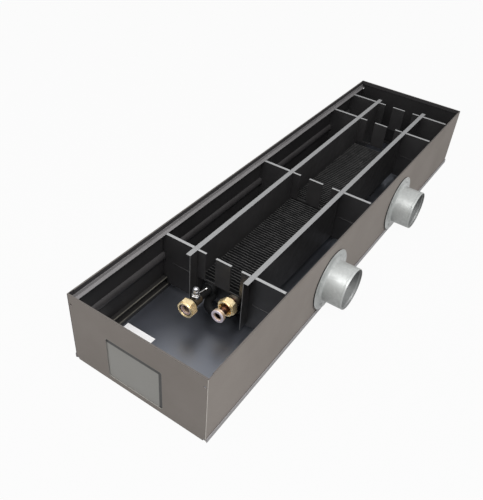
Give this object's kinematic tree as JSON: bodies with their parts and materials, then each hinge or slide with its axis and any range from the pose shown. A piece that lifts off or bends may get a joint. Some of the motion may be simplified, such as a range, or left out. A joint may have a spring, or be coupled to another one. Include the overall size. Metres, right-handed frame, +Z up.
{
  "type": "trench convector heater",
  "caption": "Open floor trough with a finned water coil between guide rails and cross plates, pipe unions with an air vent, and round duct spigots on one side.",
  "frame": {"origin": "middle of the trough's flat underside", "axes": "+X along the trough from the pipe-union end to the far end, +Y towards the plain long wall (the duct spigots leave through the -Y wall), +Z up"},
  "size_m": [1, 0.3021, 0.14],
  "materials": {
    "case_paint": "satin, warm grey",
    "inside_black": "matt black paint",
    "fin_black": "matt black paint on thin fins",
    "galvanised": "zinc coated, satin",
    "copper": "drawn copper, lightly tarnished",
    "brass": "machined",
    "chrome": "bright plated",
    "washer_fibre": "pale fibre",
    "seal_foam": "closed-cell foam",
    "label_white": "blank, matt"
  },
  "bodies": {
    "trough": {"base_tray": "case_paint", "duct_side_wall": "case_paint", "plain_side_wall": "case_paint", "near_end_cap": "case_paint", "far_end_cap": "case_paint", "grille_ledge": "case_paint", "near_coil_saddle": "case_paint", "far_coil_saddle": "case_paint", "foot_angle": "inside_black", "foot_channel": "inside_black", "wall_stiffener": "inside_black", "guide_rail_plain_side": "inside_black", "guide_rail_duct_side": "inside_black", "cross_plate_1": "inside_black", "cross_plate_2": "inside_black", "cross_plate_3": "inside_black", "cross_plate_4": "inside_black", "near_return_bend": "inside_black", "far_return_bend_plain_side": "inside_black", "far_return_bend_duct_side": "inside_black", "supply_coil_tube": "inside_black", "return_coil_tube": "inside_black", "lower_coil_tube_plain_side": "inside_black", "lower_coil_tube_duct_side": "inside_black", "supply_coupling": "inside_black", "supply_tail_pipe": "inside_black", "fin_pack": "fin_black", "knockout_plate": "galvanised", "near_duct_spigot": "galvanised", "far_duct_spigot": "galvanised", "near_spigot_rivets": "galvanised", "far_spigot_rivets": "galvanised", "return_coupling": "copper", "return_tail_pipe": "copper", "supply_tail_collar": "brass", "return_tail_collar": "brass", "vent_tee": "brass", "vent_body": "chrome", "supply_washer": "washer_fibre", "return_washer": "washer_fibre", "near_spigot_seal": "seal_foam", "far_spigot_seal": "seal_foam", "blank_label": "label_white"},
    "supply_ring": {"supply_thrust_ring": "brass"},
    "supply_nut": {"supply_union_nut": "brass"},
    "return_ring": {"return_thrust_ring": "brass"},
    "return_nut": {"return_union_nut": "brass"},
    "vent_swivel": {"vent_spout": "chrome"},
    "vent_valve": {"vent_knob": "chrome"}
  },
  "joints": [
    {"name": "supply_nut_slide", "type": "slide", "parent": "trough", "child": "supply_ring", "axis": [1, 0, 0], "range_m": [0, 0.006]},
    {"name": "supply_nut_spin", "type": "hinge", "parent": "supply_ring", "child": "supply_nut", "pos_m": [-0.354, 0.025, 0.055], "axis": [1, 0, 0], "continuous": true},
    {"name": "return_nut_slide", "type": "slide", "parent": "trough", "child": "return_ring", "axis": [1, 0, 0], "range_m": [-0.023, 0.0055]},
    {"name": "return_nut_spin", "type": "hinge", "parent": "return_ring", "child": "return_nut", "pos_m": [-0.3135, -0.025, 0.055], "axis": [1, 0, 0], "continuous": true},
    {"name": "vent_spout_swivel", "type": "hinge", "parent": "trough", "child": "vent_swivel", "pos_m": [-0.3265, 0.025, 0.06725], "axis": [0, 0, 1], "range_deg": [-80, 100]},
    {"name": "vent_valve_turn", "type": "hinge", "parent": "trough", "child": "vent_valve", "pos_m": [-0.3265, 0.025, 0.073], "axis": [0, 0, 1], "range_deg": [0, 270]}
  ]
}
